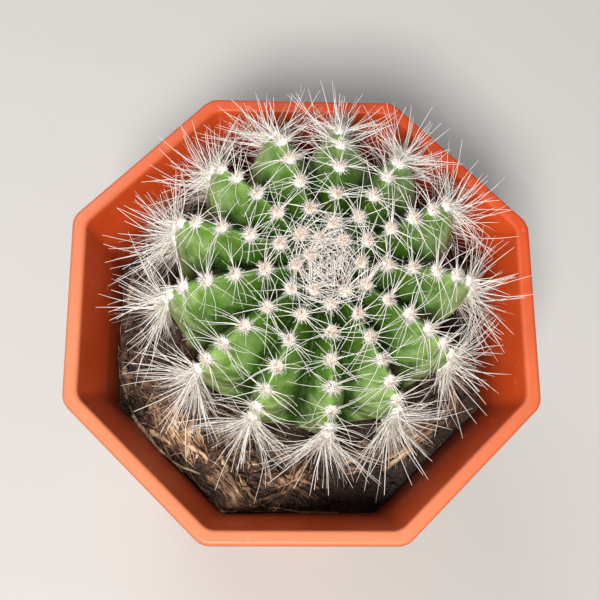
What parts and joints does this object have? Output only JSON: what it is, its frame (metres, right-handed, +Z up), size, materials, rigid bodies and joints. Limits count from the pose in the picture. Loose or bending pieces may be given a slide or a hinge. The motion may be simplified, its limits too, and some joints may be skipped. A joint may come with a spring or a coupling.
{
  "type": "potted balloon cactus",
  "caption": "Ribbed ball cactus with woolly areoles and fine white spines, standing in soil in an eight-sided terracotta-coloured plastic pot.",
  "frame": {"origin": "centre of the pot's flat underside, on the surface that it stands on", "axes": "+Z up, -Y towards the viewer of the picture, +X to the right; the pot's flats face X, Y and the diagonals between"},
  "size_m": [0.0701, 0.073, 0.0884],
  "materials": {
    "pot_plastic": "satin",
    "potting_soil": "matte",
    "cactus_skin": "satin",
    "cactus_wool": "matte",
    "cactus_spine": "satin",
    "husk": "matte"
  },
  "bodies": {
    "root": {"pot": "pot_plastic", "soil": "potting_soil", "cactus": "cactus_skin"}
  },
  "joints": []
}
